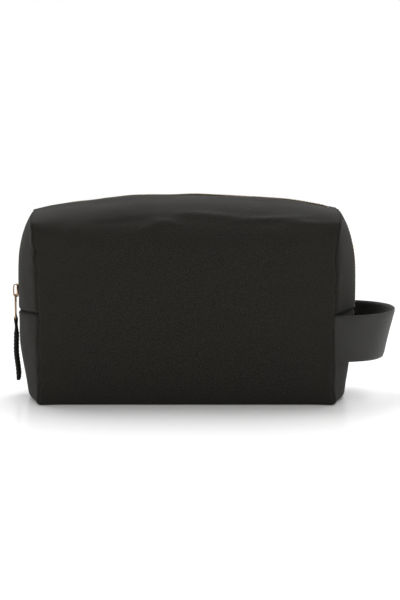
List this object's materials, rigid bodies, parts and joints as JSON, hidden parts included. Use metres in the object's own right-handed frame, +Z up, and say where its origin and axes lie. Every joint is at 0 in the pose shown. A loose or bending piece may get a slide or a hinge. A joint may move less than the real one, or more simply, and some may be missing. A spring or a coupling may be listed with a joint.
{
  "type": "zip toiletry bag",
  "caption": "Boxy padded fabric toiletry bag with a metal zip over the top, a puller with a fabric tab, and a flat webbing carry loop on one end.",
  "frame": {"origin": "on the bottom panel's lower face, half way between the four corner seams", "axes": "+X along the bag from the slider end to the loop end, +Y from front to back, +Z up"},
  "size_m": [0.3253, 0.12, 0.1707],
  "materials": {
    "outer_fabric": "dark grey plain-weave polyester, slightly lustrous",
    "pull_tab": "folded and stitched outer fabric",
    "webbing": "herringbone webbing",
    "lining": "smooth thin polyester lining",
    "board": "plain stiffener",
    "zip_tape": "woven zip tape",
    "brass": "antique brass, softly polished"
  },
  "bodies": {
    "base": {"bottom_panel": "outer_fabric", "front_lower": "outer_fabric", "back_lower": "outer_fabric", "left_end_lower": "outer_fabric", "right_end_lower": "outer_fabric", "lining_bottom_panel": "lining", "lining_front_lower": "lining", "lining_back_lower": "lining", "lining_left_end_lower": "lining", "lining_right_end_lower": "lining", "bottom_board": "board", "zip_stop_front": "brass", "zip_stop_back": "brass", "carry_loop": "webbing"},
    "mouth_front": {"front_upper": "outer_fabric", "left_end_front": "outer_fabric", "right_end_front": "outer_fabric", "lining_front_upper": "lining", "lining_left_end_front": "lining", "lining_right_end_front": "lining", "zip_tape_front": "zip_tape", "zip_teeth_front": "brass"},
    "mouth_back": {"back_upper": "outer_fabric", "left_end_back": "outer_fabric", "right_end_back": "outer_fabric", "lining_back_upper": "lining", "lining_left_end_back": "lining", "lining_right_end_back": "lining", "zip_tape_back": "zip_tape", "zip_teeth_back": "brass"},
    "slider": {"slider_body": "brass", "slider_bridge": "brass"},
    "puller": {"puller": "brass"},
    "pull_tab": {"pull_tab": "pull_tab"}
  },
  "joints": [
    {"name": "mouth_front_open", "type": "hinge", "parent": "base", "child": "mouth_front", "pos_m": [0, -0.06, 0.0745], "axis": [1, 0, 0], "range_deg": [0, 30]},
    {"name": "mouth_back_open", "type": "hinge", "parent": "base", "child": "mouth_back", "pos_m": [0, 0.06, 0.0745], "axis": [-1, 0, 0], "range_deg": [0, 30]},
    {"name": "zip_slide", "type": "slide", "parent": "base", "child": "slider", "axis": [0, 0, 1], "range_m": [0, 0.026]},
    {"name": "puller_swing", "type": "hinge", "parent": "slider", "child": "puller", "pos_m": [-0.14589, 0, 0.08565], "axis": [0, 1, 0], "range_deg": [0, 140]},
    {"name": "tab_swing", "type": "hinge", "parent": "puller", "child": "pull_tab", "pos_m": [-0.14589, 0, 0.0663], "axis": [0, 1, 0], "range_deg": [0, 35]}
  ]
}
